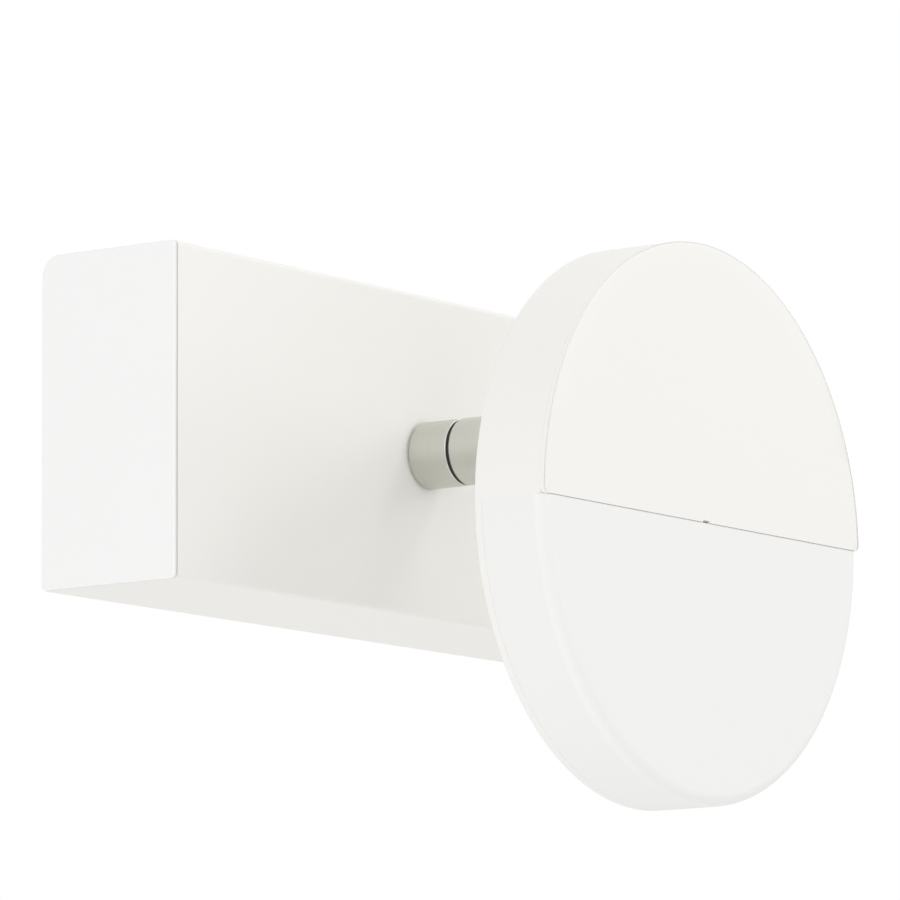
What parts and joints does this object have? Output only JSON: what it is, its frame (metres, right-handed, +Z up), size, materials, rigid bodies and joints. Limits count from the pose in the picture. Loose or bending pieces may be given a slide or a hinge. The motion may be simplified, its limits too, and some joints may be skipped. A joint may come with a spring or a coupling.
{
  "type": "pivoting wall spotlight",
  "caption": "Wall light with a long box housing, a short swivel tube that turns and a hinged round flat head, half metal cover and half opal diffuser.",
  "frame": {"origin": "centre of the housing's wall face, on the swivel tube's axis", "axes": "+X along the housing, +Y into the wall (the light stands out towards -Y), +Z up"},
  "size_m": [0.2, 0.1221, 0.1346],
  "materials": {
    "zinc_steel": "zinc-plated sheet",
    "rubber": "matt",
    "white_paint": "fine matt powder coat",
    "white_cap": "satin moulded",
    "white_screw": "painted",
    "opal_plastic": "opal, light-diffusing",
    "satin_nickel": "satin nickel plate",
    "screw_steel": "zinc-plated",
    "black_nylon": "matt",
    "brass": "machined",
    "aluminium": "rolled sheet",
    "terminal_plastic": "moulded",
    "driver_plastic": "moulded",
    "connector_plastic": "moulded",
    "board_white": "solder mask",
    "led_yellow": "phosphor",
    "live_insulation": "PVC insulation",
    "neutral_insulation": "PVC insulation",
    "earth_insulation": "PVC insulation",
    "lead_insulation": "silicone insulation"
  },
  "bodies": {
    "housing": {"wall_bracket": "zinc_steel", "cable_grommet": "rubber", "housing_cover": "white_paint", "end_cap_left": "white_cap", "end_cap_right": "white_cap", "cover_screws": "white_screw", "terminal_block": "terminal_plastic", "terminal_screws": "screw_steel", "earth_block": "brass", "earth_screw": "screw_steel", "led_driver": "driver_plastic", "driver_screws": "screw_steel", "live_wire": "live_insulation", "neutral_wire": "neutral_insulation", "earth_wire": "earth_insulation", "base_lead": "lead_insulation", "base_sleeve": "satin_nickel", "sleeve_washer": "screw_steel", "sleeve_nut": "screw_steel", "friction_washer": "black_nylon"},
    "swivel": {"swivel_barrel": "satin_nickel", "wave_washer": "screw_steel", "stop_washer": "screw_steel", "retaining_clip": "screw_steel", "hinge_screw": "screw_steel", "hinge_nut": "screw_steel", "hinge_washers": "black_nylon"},
    "head": {"hinge_bracket": "satin_nickel", "bracket_screws": "screw_steel", "head_shell": "white_paint", "cover_plate": "white_paint", "diffuser": "opal_plastic", "diffuser_screws": "screw_steel", "carrier_plate": "aluminium", "led_board": "board_white", "board_screws": "screw_steel", "led_chips": "led_yellow", "led_connector": "connector_plastic", "head_lead": "lead_insulation"}
  },
  "joints": [
    {"name": "head_swivel", "type": "hinge", "parent": "housing", "child": "swivel", "pos_m": [0, -0.0524, 0], "axis": [0, -1, 0], "range_deg": [-170, 170]},
    {"name": "head_tilt", "type": "hinge", "parent": "swivel", "child": "head", "pos_m": [0, -0.086, 0], "axis": [-1, 0, 0], "range_deg": [-35, 90]}
  ]
}
